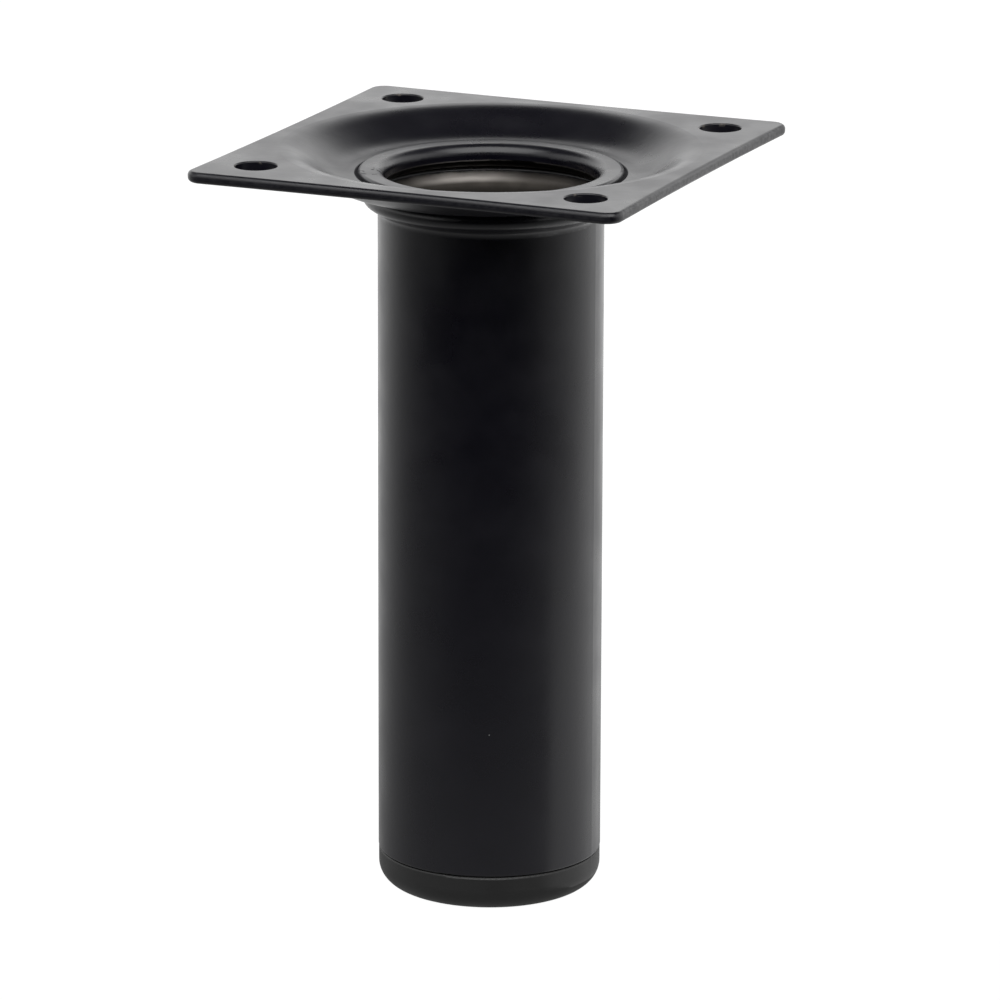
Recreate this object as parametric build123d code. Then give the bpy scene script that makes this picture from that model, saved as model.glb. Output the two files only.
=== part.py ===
from build123d import *
import math
import os

# Short furniture leg: a pressed square plate, gripped by the formed end of a steel tube, on a plastic foot.
# Millimetres. +Z is up, the plate's edges lie along X and Y, and the origin is the middle of the underside
# of the foot.

# Overall
overall_height = 101.5  # from the floor to the plate's top face

# Tube
tube_diameter = 30.0
tube_wall = 0.8
tube_end_rounding = 0.4  # outer edge of the end that meets the foot

# Mounting plate
plate_side = 61.0  # from corner to corner along an edge
plate_thickness = 1.5
plate_edge_bow = 0.4  # the pressing draws the middle of each edge in
plate_corner_radius = 2.2
plate_edge_rounding = 0.6
plate_land = 2.2  # flat strip between the dish and the middle of each edge
dish_depth = 3.4  # from the plate's top face to the floor of the dish
dish_floor_width = 1.2  # flat floor of the dish, around the flange's seat
dish_softness = 0.42  # share of the dish's slope that each of its two bends takes
screw_hole_diameter = 5.6
screw_hole_inset = 7.25  # from the lines through the corners to the middle of a hole
screw_hole_rounding = 0.2

# Formed top end of the tube: a flange above the plate and a folded bead below it
flange_seat = 2.0  # flat ring of the flange on the plate
flange_sink = 0.3  # how far the flange is pressed into the floor of the dish
flange_gap = 0.2  # room round the flange in its seat
flange_bend_radius = 0.6  # inside the bend, on the plate's upper hole edge
flange_edge_rounding = 0.5
bead_seat = 0.4  # flat ring of the bead under the plate
bead_bend_radius = 0.3  # inside the bend, on the plate's lower hole edge
bead_fold_radius = 0.5  # inside the fold
bead_flank_angle = 32.0  # slope of the bead's lower side, from level
crease_rounding = 1.2  # hollow corner between the bead and the tube

# Foot
foot_height = 5.0  # the part below the tube
foot_inset = 0.05  # how far it stays inside the tube's outline
foot_sole_rounding = 3.0
foot_shoulder_rounding = 0.3
foot_base = 3.0  # thickness of the sole under the hollow plug
plug_length = 12.0
plug_wall = 1.8
plug_clearance = 0.5  # between the plug and the tube, bridged by the grip rings
plug_lead_in = 0.8
grip_ring_count = 3
grip_ring_height = 1.2

# Sizes worked out from those above
tube_radius = tube_diameter / 2
bore_radius = tube_radius - tube_wall
plate_top = overall_height
plate_bottom = plate_top - plate_thickness
dish_floor = plate_top - dish_depth
dish_underside = dish_floor - plate_thickness
seat_floor = dish_floor - flange_sink
seat_underside = dish_underside - flange_sink
dish_rim_radius = plate_side / 2 - plate_edge_bow - plate_land
flange_bend = min(flange_bend_radius, 0.45 * plate_thickness)
bead_bend = min(bead_bend_radius, 0.45 * plate_thickness)
flange_radius = tube_radius + flange_bend + flange_seat
seat_radius = flange_radius + flange_gap
seat_rim_radius = seat_radius + flange_sink
dish_floor_radius = seat_rim_radius + dish_floor_width
screw_hole_pitch = plate_side - 2 * screw_hole_inset
foot_radius = tube_radius - foot_inset
plug_radius = bore_radius - plug_clearance
plug_top = foot_height + plug_length
grip_ring_pitch = (plug_length - plug_lead_in) / grip_ring_count


def dish_slope(level):
    """S-shaped side of the dish, from its floor to its rim, for the face that lies at this level."""
    bend = dish_softness * (dish_rim_radius - dish_floor_radius)
    return Bezier(
        (dish_floor_radius, level - dish_depth),
        (dish_floor_radius + bend, level - dish_depth),
        (dish_rim_radius - bend, level),
        (dish_rim_radius, level),
    )


def grip_line():
    """Line on which the plate's central hole and the tube's neck meet, from the bead to the flange."""
    under_plate = (tube_radius + bead_bend, seat_underside)
    neck_start = (tube_radius, seat_underside + bead_bend)
    neck_end = (tube_radius, seat_floor - flange_bend)
    over_plate = (tube_radius + flange_bend, seat_floor)
    lower_bend = TangentArc(under_plate, neck_start, tangent=(-1, 0))
    upper_bend = TangentArc(neck_end, over_plate, tangent=(0, 1))
    return lower_bend + Line(neck_start, neck_end) + upper_bend


def plate_outline():
    """Square with slightly hollow edges and rounded corners."""
    corner = plate_side / 2
    edge = ThreePointArc((corner, -corner), (corner - plate_edge_bow, 0), (corner, corner))
    with BuildSketch() as outline:
        with BuildLine():
            for turn in range(4):
                add(edge.rotate(Axis.Z, 90 * turn))
        make_face()
        fillet(outline.vertices(), plate_corner_radius)
    return outline.sketch


def make_plate():
    """Square sheet with a dish and the flange's seat pressed into it, a hole for the tube and screw holes."""
    sheet = extrude(Pos(0, 0, plate_bottom) * plate_outline(), plate_thickness)
    rims = sheet.edges().group_by(Axis.Z)
    sheet = fillet(rims[0] + rims[-1], min(plate_edge_rounding, 0.4 * plate_thickness))
    sheet -= Pos(0, 0, plate_top) * Cylinder(dish_rim_radius, 4 * plate_thickness)

    with BuildPart() as dish:
        with BuildSketch(Plane.XZ):
            with BuildLine():
                add(grip_line())
                Polyline(
                    (tube_radius + flange_bend, seat_floor),
                    (seat_radius, seat_floor),
                    (seat_rim_radius, dish_floor),
                    (dish_floor_radius, dish_floor),
                )
                add(dish_slope(plate_top))
                Line((dish_rim_radius, plate_top), (dish_rim_radius, plate_bottom))
                add(dish_slope(plate_bottom))
                Polyline(
                    (dish_floor_radius, dish_underside),
                    (seat_rim_radius, dish_underside),
                    (seat_radius, seat_underside),
                    (tube_radius + bead_bend, seat_underside),
                )
            make_face()
        revolve(axis=Axis.Z)

    plate = sheet + dish.part
    drill = Cylinder(screw_hole_diameter / 2, 4 * plate_thickness)
    for place in GridLocations(screw_hole_pitch, screw_hole_pitch, 2, 2):
        plate -= Pos(0, 0, plate_top) * place * drill
    hole_rims = plate.edges().filter_by(GeomType.CIRCLE).filter_by(
        lambda rim: math.isclose(rim.radius, screw_hole_diameter / 2)
    )
    return fillet(hole_rims, min(screw_hole_rounding, 0.4 * plate_thickness))


def make_tube():
    """Tube with one even wall, formed at the top: its outer skin is drawn and the wall set inside it."""
    flank = math.radians(bead_flank_angle)
    across_flank = Vector(math.sin(flank), -math.cos(flank))
    fold_radius = bead_fold_radius + tube_wall
    fold_start = Vector(tube_radius + bead_bend + bead_seat, seat_underside)
    fold_centre = fold_start - Vector(0, fold_radius)
    fold_crest = fold_centre + Vector(fold_radius, 0)
    fold_end = fold_centre + across_flank * fold_radius

    flank_width = fold_end.X - tube_radius - crease_rounding * (1 - math.sin(flank))
    crease_end = fold_end - Vector(1, math.tan(flank)) * flank_width
    crease_centre = crease_end + across_flank * crease_rounding
    crease_start = crease_centre - Vector(crease_rounding, 0)

    with BuildPart() as tube:
        with BuildSketch(Plane.XZ):
            with BuildLine():
                Line((tube_radius, foot_height), crease_start)
                TangentArc(crease_start, crease_end, tangent=(0, 1))
                Line(crease_end, fold_end)
                ThreePointArc(fold_end, fold_crest, fold_start)
                Line(fold_start, (tube_radius + bead_bend, seat_underside))
                add(grip_line())
                Line((tube_radius + flange_bend, seat_floor), (flange_radius, seat_floor))
                offset(amount=tube_wall, side=Side.LEFT, closed=True)
            make_face()
        revolve(axis=Axis.Z)
        foot_end = tube.edges().group_by(Axis.Z)[0].sort_by(SortBy.RADIUS)[-1]
        fillet(foot_end, min(tube_end_rounding, 0.8 * tube_wall))
        flange_rim = tube.edges().group_by(Axis.Z)[-1].sort_by(SortBy.RADIUS)[-1]
        fillet(flange_rim, min(flange_edge_rounding, 0.8 * tube_wall))
    return tube.part


def make_foot():
    """Moulded foot: a rounded sole under the tube and a hollow plug with grip rings inside it."""
    plug_bore = plug_radius - plug_wall
    with BuildPart() as foot:
        with BuildSketch(Plane.XZ):
            with BuildLine():
                Polyline(
                    (0, 0),
                    (foot_radius, 0),
                    (foot_radius, foot_height),
                    (plug_radius, foot_height),
                    (plug_radius, plug_top - plug_lead_in),
                    (plug_radius - plug_lead_in, plug_top),
                    (plug_bore, plug_top),
                    (plug_bore, foot_base),
                    (0, foot_base),
                    close=True,
                )
            make_face()
        revolve(axis=Axis.Z)
        sole = foot.edges().group_by(Axis.Z)[0].sort_by(SortBy.RADIUS)[-1]
        fillet(sole, min(foot_sole_rounding, 0.8 * foot_height))
        at_tube = foot.edges().filter_by_position(Axis.Z, foot_height, foot_height)
        shoulder = at_tube.sort_by(SortBy.RADIUS)[-1]
        fillet(shoulder, min(foot_shoulder_rounding, 0.1 * foot_height))

        for index in range(grip_ring_count):
            ring_bottom = foot_height + grip_ring_pitch * (index + 0.5) - grip_ring_height / 2
            with BuildSketch(Plane.XZ):
                with BuildLine():
                    Polyline(
                        (plug_radius - plug_wall / 2, ring_bottom),
                        (bore_radius, ring_bottom),
                        (bore_radius, ring_bottom + grip_ring_height / 3),
                        (plug_radius, ring_bottom + grip_ring_height),
                        (plug_radius - plug_wall / 2, ring_bottom + grip_ring_height),
                        close=True,
                    )
                make_face()
            revolve(axis=Axis.Z)
    return foot.part


os.makedirs("parts", exist_ok=True)
export_step(make_plate(), "parts/mounting_plate.step")
export_step(make_tube(), "parts/leg_tube.step")
export_step(make_foot(), "parts/foot_cap.step")
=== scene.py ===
import bpy
import math
from mathutils import Euler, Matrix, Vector

# Looks of a short furniture leg: satin black powder coat on the plate and the tube, bare steel down inside
# the tube, and a moulded black plastic foot. Metres.

# Camera, as in the photograph
VIEW_TURN = math.radians(23.4)  # the camera's place round the leg, from the plate's edge
VIEW_RISE = math.radians(15.36)  # its height above level
VIEW_DISTANCE = 0.900
VIEW_ROLL = 0.0031
VIEW_TARGET = (0.0013, 0, 0.0532)  # to the right, back and up, as the camera sees it
LENS = 242.4  # millimetres, as the sensor
SENSOR_WIDTH = 36

# Lamps: name, place and aim to the right, back and up as the camera sees it, width, height and brightness
LAMPS = (
    ("back_panel", (0, 1.0, 0.42), (0, 0, 0.05), 2.4, 0.84, 0.42),
    ("left_panel", (-0.9, 0.25, 0.40), (0, 0, 0.05), 1.2, 0.80, 0.2),
    ("right_panel", (0.8, 0.25, 0.40), (0, 0, 0.05), 1.2, 0.80, 0.4),
    ("key_softbox", (0.00, -0.47, 0.71), (0, 0, 0.05), 1.30, 0.93, 3.3),
    ("floor_card", (0.11, 0.03, 0.002), (0.11, 0.03, 1.0), 0.15, 0.16, 0.45),
)
ROOM_LIGHT = 0.40  # light that comes from nowhere in particular

# Floor
FLOOR_SIZE = 6
FLOOR_DROP = 0.0002  # how far it lies below the foot
FLOOR_SHADE = 0.8
FLOOR_GLOW = 1.15
FLOOR_GLOW_SHARE = 0.85  # what the camera sees is glow by this share, and the rest keeps the shadow

# Dark sheet over the set and behind the camera, so that the paint has something black to reflect; its faint
# glow is painted light, dimmest at the floor and brightest overhead
DRAPE_WIDTH = 2.6
DRAPE_FRONT = -1.3
DRAPE_BACK = 1.7
DRAPE_HEIGHT = 1.2
DRAPE_PAINTED_GLOW = (0.005, 0.09)  # painted glow at the floor and overhead
DRAPE_EDGE_TOLERANCE = 0.001

# Glowing sheet on the floor that the tube reflects, whose glow is painted light of a floor lit from the
# back: its width, and its glow by depth, as the camera sees it
GLOW_SHEET_WIDTH = 3.0
GLOW_SHEET_TURN = math.radians(12)  # how far its dark end lies to the left of the camera
GLOW_SHEET_PAINTED_LIGHT = (
    (-0.40, 0.00),
    (-0.30, 0.01),
    (-0.20, 0.06),
    (-0.10, 0.26),
    (-0.05, 0.32),
    (0.00, 0.44),
    (0.05, 0.60),
    (0.15, 0.90),
    (0.40, 1.40),
)
GLOW_SHEET_LIFT = 0.0001

# Places on the leg that the finishes follow
LEG_TOP = 0.1015
PAINT_REACH = LEG_TOP - 0.0069  # the spray goes this far down inside the tube's mouth
PAINT_FADE = 0.0003  # height over which the spray ends, and of its ragged edge
PAINTED_SHADE_REACH = LEG_TOP - 0.0072  # below this the bare steel is painted darker, as painted shade deeper in the tube
PAINTED_SHADE_FADE = 0.0010
PAINTED_HIGHLIGHT_SPOT = (-0.0087, 0.0112, LEG_TOP - 0.0090)  # painted highlight: the bare steel is painted brighter here, where light falls on the far wall, and darker elsewhere
PAINTED_HIGHLIGHT_FADE = (0.0010, 0.0095)
FLANGE_RADIUS = 0.0176
SEAM_INNER_FADE = (FLANGE_RADIUS - 0.0002, FLANGE_RADIUS - 0.0001)
SEAM_OUTER_FADE = (FLANGE_RADIUS + 0.0003, FLANGE_RADIUS + 0.0006)
FLANGE_SEAM = (LEG_TOP - 0.0034, LEG_TOP - 0.0030)  # the gap round the flange is dark below and clear above
PLATE_EDGE = 0.0299  # from the leg's axis, straight across, to where the plate's edge is rounded
PLATE_EDGE_FADE = 0.0003
SCREW_HOLE_PLACE = 0.02325  # from the leg's axis to each screw hole, along X and along Y
SCREW_HOLE_RADIUS = 0.0028
SCREW_HOLE_FADE = 0.0002
SCREW_HOLE_RIM = (LEG_TOP - 0.0005, LEG_TOP - 0.0002)  # the wear starts below and is full above
CHIPPED_SPOT = (-0.0137, -0.0081, LEG_TOP - 0.0029)  # on the flange
CHIPPED_REACH = 0.0024
CHIPPED_FADE = 0.8 * CHIPPED_REACH

# Colours of the finishes, each pair blended by a cloudy pattern
PAINT_SHADES = ((0.0005, 0.0004, 0.0022, 1), (0.0018, 0.0015, 0.0044, 1))
DUST_SHADE = 0.10
# Steel with its rust tones at the painted highlight inside the tube, then the darker steel away from it
HIGHLIT_STEEL_SHADES = ((0.46, 0.430, 0.402, 1), (0.62, 0.584, 0.550, 1))
STEEL_OUTSIDE_HIGHLIGHT_SHADE = (0.12, 0.110, 0.101, 1)
# painted shade of the steel far down inside the tube
DEEP_STEEL_PAINTED_SHADE = (0.04, 0.036, 0.032, 1)
# painted shade on the downward-facing overhang inside the tube's mouth
OVERHANG_PAINTED_SHADE = (0.006, 0.0055, 0.005, 1)
PLASTIC_SHADES = (0.0035, 0.0060)

# Roughness of the finishes, over the middle part of a cloudy pattern
CLOUD_SPAN = (0.3, 0.7)
PAINT_ROUGHNESS = (0.25, 0.31)
SMUDGE_SPAN = (0.4, 0.6)
SMUDGE_ROUGHNESS = (0.0, 0.04)  # added to the paint's own
CUT_EDGE_ROUGHNESS = (0.34, 0.48)
STEEL_ROUGHNESS = (0.58, 0.70)
PLASTIC_ROUGHNESS = (0.46, 0.54)
PAINT_IOR = 1.5
PLASTIC_IOR = 1.47

# Sizes of the patterns in the finishes
PAINT_CLOUD_SIZE = 0.006
SMUDGE_SIZE = 0.015
RUST_SIZE = 0.0025
CUT_EDGE_SIZE = 0.0006
RAGGED_SIZE = 0.0015
DUST_SPACING = 0.0060
DUST_RADIUS = 0.00012
DUST_SHARE = 0.25  # of the places that could hold a speck
NIB_HEIGHT = 0.00002  # of a dust speck under the paint
FLECK_SIZE = 0.0011
FLECK_SPAN = (0.59, 0.65)
FLAKE_SIZE = 0.0019
FLAKE_SPAN = (0.57, 0.61)
PEEL_SIZE, PEEL_DEPTH = 0.0009, 0.000008
GRAIN_SIZE, GRAIN_DEPTH = 0.00022, 0.0000015
PLASTIC_CLOUD_SIZE = 0.004
PLASTIC_GRAIN_SIZE, PLASTIC_GRAIN_DEPTH = 0.00025, 0.000004

# Which way a surface inside the tube faces
INWARDS_SPAN = (-0.0030, -0.0020)  # its normal along the way out from the axis, in metres from the axis
DOWNWARDS_SPAN = (-0.20, -0.05)  # upward part of its normal, from a clear overhang to an upright wall


def grey(level):
    """Colour without a tint."""
    return (level, level, level, 1)


def seen_from_camera(right, back, up):
    """A place given as the camera sees it, turned into the leg's own axes."""
    return Vector((
        right * math.cos(VIEW_TURN) - back * math.sin(VIEW_TURN),
        right * math.sin(VIEW_TURN) + back * math.cos(VIEW_TURN),
        up,
    ))


def aim(piece, target, roll=0.0):
    """Turns a lamp or the camera to face a point, rolled about that line."""
    facing = (target - piece.location).to_track_quat("-Z", "Y")
    piece.rotation_euler = (facing.to_matrix() @ Euler((0, 0, roll)).to_matrix()).to_euler()


def add_camera():
    target = seen_from_camera(*VIEW_TARGET)
    away = seen_from_camera(0, -math.cos(VIEW_RISE), math.sin(VIEW_RISE))
    bpy.ops.object.camera_add(location=target + VIEW_DISTANCE * away)
    camera = bpy.context.object
    camera.data.lens = LENS
    camera.data.sensor_width = SENSOR_WIDTH
    aim(camera, target, VIEW_ROLL)
    bpy.context.scene.camera = camera


def add_lamp(name, place, target, width, height, brightness):
    """Soft panel that shows in the paint with the given brightness, where 1 is white."""
    bpy.ops.object.light_add(type="AREA", location=seen_from_camera(*place))
    lamp = bpy.context.object
    lamp.name = name
    lamp.data.shape = "RECTANGLE"
    lamp.data.size = width
    lamp.data.size_y = height
    lamp.data.energy = brightness * math.pi * width * height
    lamp.visible_camera = False
    aim(lamp, seen_from_camera(*target))


def shown_white(tree):
    """1 for what the camera sees straight on, in gloss or through glass, where the set looks white."""
    ray = tree.nodes.new("ShaderNodeLightPath")
    glossy = tree.nodes.new("ShaderNodeMath")
    through = tree.nodes.new("ShaderNodeMath")
    glossy.operation = "MAXIMUM"
    through.operation = "MAXIMUM"
    tree.links.new(ray.outputs["Is Camera Ray"], glossy.inputs[0])
    tree.links.new(ray.outputs["Is Glossy Ray"], glossy.inputs[1])
    tree.links.new(glossy.outputs["Value"], through.inputs[0])
    tree.links.new(ray.outputs["Is Transmission Ray"], through.inputs[1])
    return through.outputs["Value"]


def add_world():
    """White all round to look at, and a dim room for the light."""
    world = bpy.data.worlds.new("studio")
    bpy.context.scene.world = world
    world.use_nodes = True
    tree = world.node_tree
    tree.nodes.clear()
    room = tree.nodes.new("ShaderNodeBackground")
    room.inputs["Color"].default_value = grey(1)
    room.inputs["Strength"].default_value = ROOM_LIGHT
    white = tree.nodes.new("ShaderNodeBackground")
    white.inputs["Color"].default_value = grey(1)
    mix = tree.nodes.new("ShaderNodeMixShader")
    out = tree.nodes.new("ShaderNodeOutputWorld")
    tree.links.new(shown_white(tree), mix.inputs["Fac"])
    tree.links.new(room.outputs["Background"], mix.inputs[1])
    tree.links.new(white.outputs["Background"], mix.inputs[2])
    tree.links.new(mix.outputs["Shader"], out.inputs["Surface"])


def set_material(name):
    """Empty material for a piece of the set, with its node tree and its output."""
    material = bpy.data.materials.new(name)
    material.use_nodes = True
    material.node_tree.nodes.clear()
    out = material.node_tree.nodes.new("ShaderNodeOutputMaterial")
    return material, material.node_tree, out.inputs["Surface"]


def add_floor():
    """Plain white floor that keeps a faint shadow."""
    bpy.ops.mesh.primitive_plane_add(size=FLOOR_SIZE, location=(0, 0, -FLOOR_DROP))
    floor = bpy.context.object
    floor.name = "floor"
    material, tree, surface = set_material("white_floor")
    matt = tree.nodes.new("ShaderNodeBsdfDiffuse")
    matt.inputs["Color"].default_value = grey(FLOOR_SHADE)
    glow = tree.nodes.new("ShaderNodeEmission")
    glow.inputs["Strength"].default_value = FLOOR_GLOW
    shown = tree.nodes.new("ShaderNodeMixShader")
    shown.inputs["Fac"].default_value = FLOOR_GLOW_SHARE
    mix = tree.nodes.new("ShaderNodeMixShader")
    tree.links.new(matt.outputs["BSDF"], shown.inputs[1])
    tree.links.new(glow.outputs["Emission"], shown.inputs[2])
    tree.links.new(shown_white(tree), mix.inputs["Fac"])
    tree.links.new(matt.outputs["BSDF"], mix.inputs[1])
    tree.links.new(shown.outputs["Shader"], mix.inputs[2])
    tree.links.new(mix.outputs["Shader"], surface)
    floor.data.materials.append(material)


def lay_flat(name, width, front, back, height):
    """Level sheet across the set, out of the camera's sight, from one depth to another."""
    middle = (front + back) / 2
    bpy.ops.mesh.primitive_plane_add(size=1, rotation=(0, 0, VIEW_TURN),
                                     location=seen_from_camera(0, middle, height))
    sheet = bpy.context.object
    sheet.name = name
    sheet.scale = (width, back - front, 1)
    bpy.ops.object.transform_apply(location=True, rotation=True, scale=True)
    sheet.visible_camera = False
    return sheet


def add_drape():
    """Dark sheet overhead that hangs to the floor behind the camera, with a faint painted glow that grows
    towards the top.
    """
    drape = lay_flat("dark_glow_sheet", DRAPE_WIDTH, DRAPE_FRONT, DRAPE_BACK, DRAPE_HEIGHT)
    forward = seen_from_camera(0, -1, 0)
    bpy.ops.object.mode_set(mode="EDIT")
    bpy.ops.mesh.select_all(action="DESELECT")
    bpy.ops.object.mode_set(mode="OBJECT")
    for edge in drape.data.edges:
        ends = [drape.data.vertices[index].co.dot(forward) for index in edge.vertices]
        edge.select = min(ends) > -DRAPE_FRONT - DRAPE_EDGE_TOLERANCE
    bpy.ops.object.mode_set(mode="EDIT")
    bpy.ops.mesh.select_mode(type="EDGE")
    bpy.ops.mesh.extrude_region_move(TRANSFORM_OT_translate={"value": (0, 0, -DRAPE_HEIGHT)})
    bpy.ops.object.mode_set(mode="OBJECT")
    material, tree, surface = set_material("dark_painted_glow")
    place = tree.nodes.new("ShaderNodeTexCoord")
    axes = tree.nodes.new("ShaderNodeSeparateXYZ")
    shade = tree.nodes.new("ShaderNodeMapRange")
    shade.inputs["From Max"].default_value = DRAPE_HEIGHT
    shade.inputs["To Min"].default_value = DRAPE_PAINTED_GLOW[0]
    shade.inputs["To Max"].default_value = DRAPE_PAINTED_GLOW[1]
    # painted light: the sheet glows faintly, more overhead than at the floor
    glow = tree.nodes.new("ShaderNodeEmission")
    tree.links.new(place.outputs["Object"], axes.inputs["Vector"])
    tree.links.new(axes.outputs["Z"], shade.inputs["Value"])
    tree.links.new(shade.outputs["Result"], glow.inputs["Strength"])
    tree.links.new(glow.outputs["Emission"], surface)
    drape.data.materials.append(material)


def add_glow_sheet():
    """Glowing sheet whose painted light darkens from the back of the set towards the camera, as on a floor
    lit from the back.
    """
    front = GLOW_SHEET_PAINTED_LIGHT[0][0]
    back = GLOW_SHEET_PAINTED_LIGHT[-1][0]
    glow_sheet = lay_flat("painted_floor_light", GLOW_SHEET_WIDTH, DRAPE_FRONT, back, GLOW_SHEET_LIFT)
    material, tree, surface = set_material("painted_floor_light")
    place = tree.nodes.new("ShaderNodeTexCoord")
    turn = tree.nodes.new("ShaderNodeMapping")
    turn.inputs["Rotation"].default_value = (0, 0, GLOW_SHEET_TURN - VIEW_TURN)
    axes = tree.nodes.new("ShaderNodeSeparateXYZ")
    depth = tree.nodes.new("ShaderNodeMapRange")
    depth.inputs["From Min"].default_value = front
    depth.inputs["From Max"].default_value = back
    shade = tree.nodes.new("ShaderNodeValToRGB")
    stops = shade.color_ramp.elements
    for index, (at, level) in enumerate(GLOW_SHEET_PAINTED_LIGHT):
        where = (at - front) / (back - front)
        stop = stops[index] if index < 2 else stops.new(where)
        stop.position = where
        stop.color = grey(level)
    # painted light: the sheet glows by depth in place of a floor lit from the back
    glow = tree.nodes.new("ShaderNodeEmission")
    tree.links.new(place.outputs["Object"], turn.inputs["Vector"])
    tree.links.new(turn.outputs["Vector"], axes.inputs["Vector"])
    tree.links.new(axes.outputs["Y"], depth.inputs["Value"])
    tree.links.new(depth.outputs["Result"], shade.inputs["Fac"])
    tree.links.new(shade.outputs["Color"], glow.inputs["Color"])
    tree.links.new(glow.outputs["Emission"], surface)
    glow_sheet.data.materials.append(material)


class Finish:
    """A material under construction, with short calls for the nodes that its pattern needs."""

    def __init__(self, name):
        self.material = bpy.data.materials.new(name)
        self.material.use_nodes = True
        self.tree = self.material.node_tree
        self.shader = self.tree.nodes["Principled BSDF"]
        self.place = self.node("ShaderNodeTexCoord").outputs["Object"]

    def node(self, kind, **inputs):
        made = self.tree.nodes.new(kind)
        for name, value in inputs.items():
            self.feed(made.inputs[name.replace("_", " ")], value)
        return made

    def feed(self, socket, value):
        if isinstance(value, bpy.types.NodeSocket):
            self.tree.links.new(value, socket)
        else:
            socket.default_value = value

    def noise(self, size, detail=2.0):
        """Cloudy pattern from 0 to 1 whose spots are about this size."""
        made = self.node("ShaderNodeTexNoise", Vector=self.place, Scale=1 / size, Detail=detail)
        return made.outputs["Fac"]

    def specks(self, size, radius, share):
        """1 on small round specks of this radius, in this share of the cells of this size."""
        made = self.node("ShaderNodeTexVoronoi", Vector=self.place, Scale=1 / size)
        near = self.ramp(made.outputs["Distance"], 0.5 * radius / size, radius / size, 1.0, 0.0)
        chosen = self.node("ShaderNodeSeparateColor", Color=made.outputs["Color"])
        return self.math("MULTIPLY", near, self.math("GREATER_THAN", chosen.outputs["Red"], 1 - share))

    def vector(self, operation, first, second):
        made = self.node("ShaderNodeVectorMath")
        made.operation = operation
        self.feed(made.inputs[0], first)
        self.feed(made.inputs[1], second)
        return made.outputs["Value"] if operation in ("DOT_PRODUCT", "DISTANCE") else made.outputs["Vector"]

    def math(self, operation, *values):
        made = self.node("ShaderNodeMath")
        made.operation = operation
        for socket, value in zip(made.inputs, values):
            self.feed(socket, value)
        return made.outputs["Value"]

    def ramp(self, value, low, high, start=0.0, end=1.0):
        """Steps softly from start to end while the value goes from low to high."""
        made = self.node("ShaderNodeMapRange", Value=value)
        made.interpolation_type = "SMOOTHSTEP"
        made.inputs["From Min"].default_value = low
        made.inputs["From Max"].default_value = high
        made.inputs["To Min"].default_value = start
        made.inputs["To Max"].default_value = end
        return made.outputs["Result"]

    def blend(self, share, first, second):
        """Mixes two colours by a share that varies over the surface."""
        made = self.node("ShaderNodeMix")
        made.data_type = "RGBA"
        self.feed(made.inputs["Factor"], share)
        self.feed(made.inputs[6], first)
        self.feed(made.inputs[7], second)
        return made.outputs[2]

    def bump(self, height, depth, under=None):
        """Raises the surface by up to this depth, on top of an earlier bump."""
        made = self.node("ShaderNodeBump", Height=height, Distance=depth)
        if under:
            self.tree.links.new(under, made.inputs["Normal"])
        return made.outputs["Normal"]

    def set(self, **inputs):
        for name, value in inputs.items():
            self.feed(self.shader.inputs[name.replace("_", " ")], value)


def inside_tube(finish, axes):
    """1 on the steel that the spray didn't reach inside the tube, and 1 on the overhang above it, which
    gets painted shade.
    """
    facing = finish.node("ShaderNodeNewGeometry").outputs["Normal"]
    outwards = finish.vector("MULTIPLY", finish.place, (1, 1, 0))
    inside = finish.ramp(finish.vector("DOT_PRODUCT", facing, outwards), *INWARDS_SPAN, 1.0, 0.0)
    tilt = finish.node("ShaderNodeSeparateXYZ", Vector=facing).outputs["Z"]
    overhang = finish.math("MULTIPLY", inside, finish.ramp(tilt, *DOWNWARDS_SPAN, 1.0, 0.0))
    ragged = finish.math("MULTIPLY", finish.noise(RAGGED_SIZE, detail=4.0), PAINT_FADE)
    level = finish.math("ADD", axes.outputs["Z"], ragged)
    below = finish.ramp(level, PAINT_REACH, PAINT_REACH + PAINT_FADE, 1.0, 0.0)
    bare = finish.math("MULTIPLY", finish.math("SUBTRACT", inside, overhang), below)
    return bare, overhang


def painted_steel_highlight(finish):
    """1 at the middle of the painted highlight on the bare steel inside the tube, fading to 0 around it."""
    from_spot = finish.vector("DISTANCE", finish.place, PAINTED_HIGHLIGHT_SPOT)
    return finish.ramp(from_spot, *PAINTED_HIGHLIGHT_FADE, 1.0, 0.0)


def cut_edge(finish, axes):
    """1 on the sheared edges of the plate, where the paint lies thin on rough steel."""
    across = [finish.math("ABSOLUTE", axes.outputs[axis]) for axis in ("X", "Y")]
    furthest = finish.math("MAXIMUM", *across)
    return finish.ramp(furthest, PLATE_EDGE - PLATE_EDGE_FADE, PLATE_EDGE + PLATE_EDGE_FADE)


def worn_holes(finish, axes):
    """1 on flecks where the edges of the screw holes have lost their paint."""
    away = []
    for axis in ("X", "Y"):
        from_middle = finish.math("SUBTRACT", finish.math("ABSOLUTE", axes.outputs[axis]), SCREW_HOLE_PLACE)
        away.append(finish.math("POWER", from_middle, 2.0))
    from_hole = finish.math("SQRT", finish.math("ADD", *away))
    at_hole = finish.ramp(from_hole, SCREW_HOLE_RADIUS, SCREW_HOLE_RADIUS + SCREW_HOLE_FADE, 1.0, 0.0)
    at_rim = finish.ramp(axes.outputs["Z"], *SCREW_HOLE_RIM)
    flecks = finish.ramp(finish.noise(FLECK_SIZE, detail=3.0), *FLECK_SPAN)
    return finish.math("MULTIPLY", finish.math("MULTIPLY", at_hole, at_rim), flecks)


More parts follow.
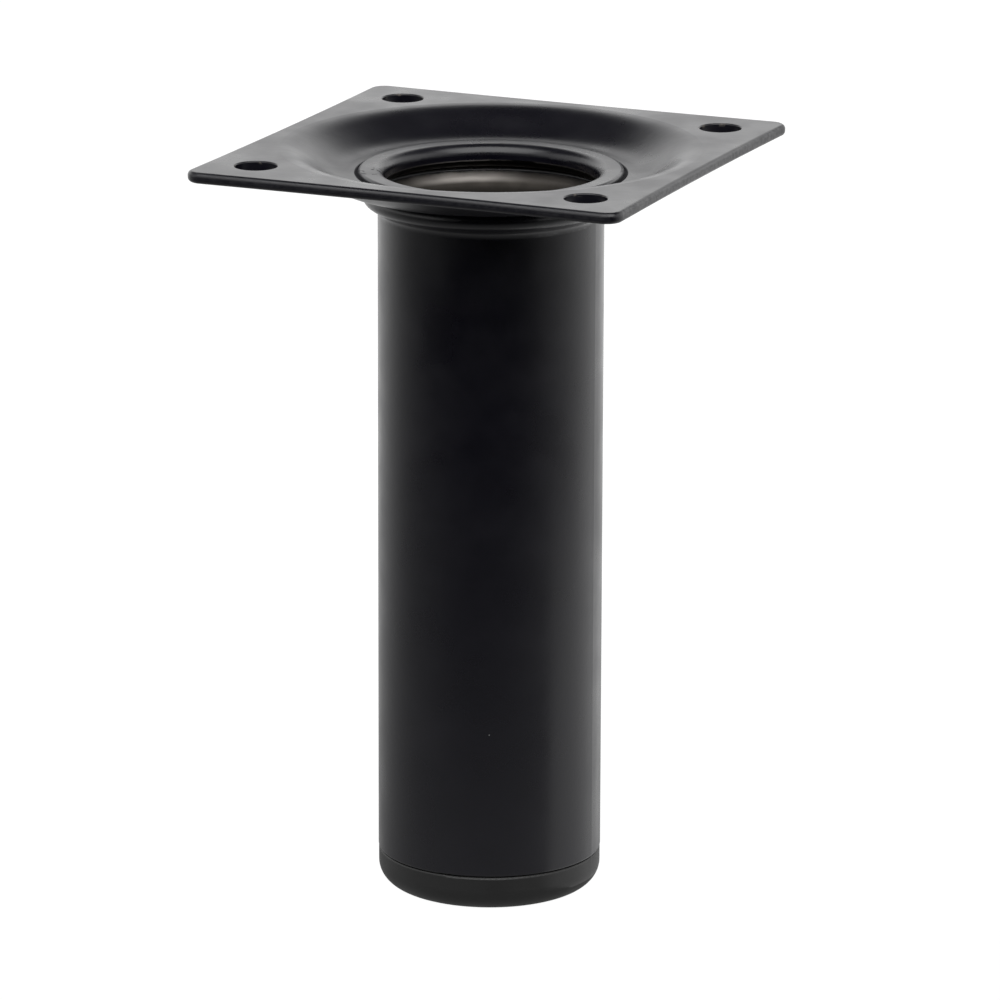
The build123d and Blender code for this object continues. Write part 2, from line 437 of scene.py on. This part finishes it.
def chipped_flange(finish):
    """1 on the chips of one damaged spot on the flange."""
    from_spot = finish.vector("DISTANCE", finish.place, CHIPPED_SPOT)
    near = finish.ramp(from_spot, CHIPPED_FADE, CHIPPED_REACH, 1.0, 0.0)
    flakes = finish.ramp(finish.noise(FLAKE_SIZE, detail=3.0), *FLAKE_SPAN)
    return finish.math("MULTIPLY", near, flakes)


def flange_seam(finish, axes):
    """1 in the narrow gap round the flange, which the light hardly enters."""
    outwards = finish.vector("MULTIPLY", finish.place, (1, 1, 0))
    from_axis = finish.vector("DISTANCE", outwards, (0, 0, 0))
    past_flange = finish.ramp(from_axis, *SEAM_INNER_FADE)
    before_dish = finish.ramp(from_axis, *SEAM_OUTER_FADE, 1.0, 0.0)
    low = finish.ramp(axes.outputs["Z"], *FLANGE_SEAM, 1.0, 0.0)
    return finish.math("MULTIPLY", finish.math("MULTIPLY", past_flange, before_dish), low)


def powder_coat():
    """Satin black powder coat with a faint orange peel, and bare steel in the tube and at the holes, with
    painted highlight and painted shade on the steel in the tube.
    """
    finish = Finish("powder_coat")
    axes = finish.node("ShaderNodeSeparateXYZ", Vector=finish.place)
    unpainted, overhang = inside_tube(finish, axes)
    # painted shade: the overhang is coloured as near-black metal, so it counts with the bare steel from
    # here on
    inner_steel_and_shaded_overhang = finish.math("MAXIMUM", unpainted, overhang)
    bare = finish.math("MAXIMUM", inner_steel_and_shaded_overhang, worn_holes(finish, axes))
    dull = finish.math("MAXIMUM", chipped_flange(finish), flange_seam(finish, axes))
    sheared = finish.ramp(finish.noise(CUT_EDGE_SIZE, detail=3.0), *CLOUD_SPAN, *CUT_EDGE_ROUGHNESS)
    dry = finish.math("MULTIPLY", cut_edge(finish, axes), sheared)
    dust = finish.specks(DUST_SPACING, DUST_RADIUS, DUST_SHARE)

    cloud = finish.noise(PAINT_CLOUD_SIZE, detail=3.0)
    rust = finish.noise(RUST_SIZE, detail=5.0)
    clean = finish.blend(cloud, *PAINT_SHADES)
    dusty = finish.blend(dust, clean, grey(DUST_SHADE))
    highlit_steel = finish.blend(rust, *HIGHLIT_STEEL_SHADES)
    # painted highlight: the steel is brighter round one spot on the far wall inside the tube
    wall_steel_with_highlight = finish.blend(painted_steel_highlight(finish), STEEL_OUTSIDE_HIGHLIGHT_SHADE, highlit_steel)
    # painted shade: the steel darkens further down inside the tube
    depth = finish.ramp(axes.outputs["Z"], PAINTED_SHADE_REACH - PAINTED_SHADE_FADE, PAINTED_SHADE_REACH)
    open_steel = finish.blend(depth, DEEP_STEEL_PAINTED_SHADE, wall_steel_with_highlight)
    # painted shade: the overhang under the neck is coloured near-black
    steel = finish.blend(overhang, open_steel, OVERHANG_PAINTED_SHADE)
    finish.set(Base_Color=finish.blend(bare, dusty, steel))
    finish.set(Metallic=bare, IOR=PAINT_IOR)

    untouched = finish.ramp(cloud, *CLOUD_SPAN, *PAINT_ROUGHNESS)
    smudge = finish.ramp(finish.noise(SMUDGE_SIZE), *SMUDGE_SPAN, *SMUDGE_ROUGHNESS)
    handled = finish.math("ADD", untouched, smudge)
    painted = finish.math("MAXIMUM", handled, finish.math("MAXIMUM", dull, dry))
    gloss = finish.node("ShaderNodeMix", Factor=bare)
    finish.feed(gloss.inputs[2], painted)
    finish.feed(gloss.inputs[3], finish.ramp(rust, *CLOUD_SPAN, *STEEL_ROUGHNESS))
    finish.set(Roughness=gloss.outputs[0])

    peel = finish.bump(finish.noise(PEEL_SIZE), PEEL_DEPTH)
    grain = finish.bump(finish.noise(GRAIN_SIZE), GRAIN_DEPTH, peel)
    finish.set(Normal=finish.bump(dust, NIB_HEIGHT, grain))
    return finish.material


def foot_plastic():
    """Matte moulded plastic with a fine spark-eroded grain."""
    finish = Finish("foot_plastic")
    cloud = finish.noise(PLASTIC_CLOUD_SIZE, detail=3.0)
    finish.set(Base_Color=finish.blend(cloud, *map(grey, PLASTIC_SHADES)))
    finish.set(Roughness=finish.ramp(cloud, *CLOUD_SPAN, *PLASTIC_ROUGHNESS), IOR=PLASTIC_IOR)
    finish.set(Normal=finish.bump(finish.noise(PLASTIC_GRAIN_SIZE), PLASTIC_GRAIN_DEPTH))
    return finish.material


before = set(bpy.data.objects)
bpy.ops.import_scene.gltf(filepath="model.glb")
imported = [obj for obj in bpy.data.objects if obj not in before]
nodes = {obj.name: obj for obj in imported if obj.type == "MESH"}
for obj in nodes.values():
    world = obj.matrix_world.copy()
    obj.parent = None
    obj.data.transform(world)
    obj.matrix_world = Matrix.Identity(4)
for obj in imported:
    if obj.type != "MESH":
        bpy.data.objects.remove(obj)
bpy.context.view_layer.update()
bpy.ops.object.select_all(action="DESELECT")
bpy.context.scene.view_settings.view_transform = "Standard"

add_camera()
add_world()
add_floor()
add_drape()
add_glow_sheet()
for lamp in LAMPS:
    add_lamp(*lamp)

paint = powder_coat()
nodes["mounting_plate"].material_slots[0].material = paint
nodes["leg_tube"].material_slots[0].material = paint
nodes["foot_cap"].material_slots[0].material = foot_plastic()
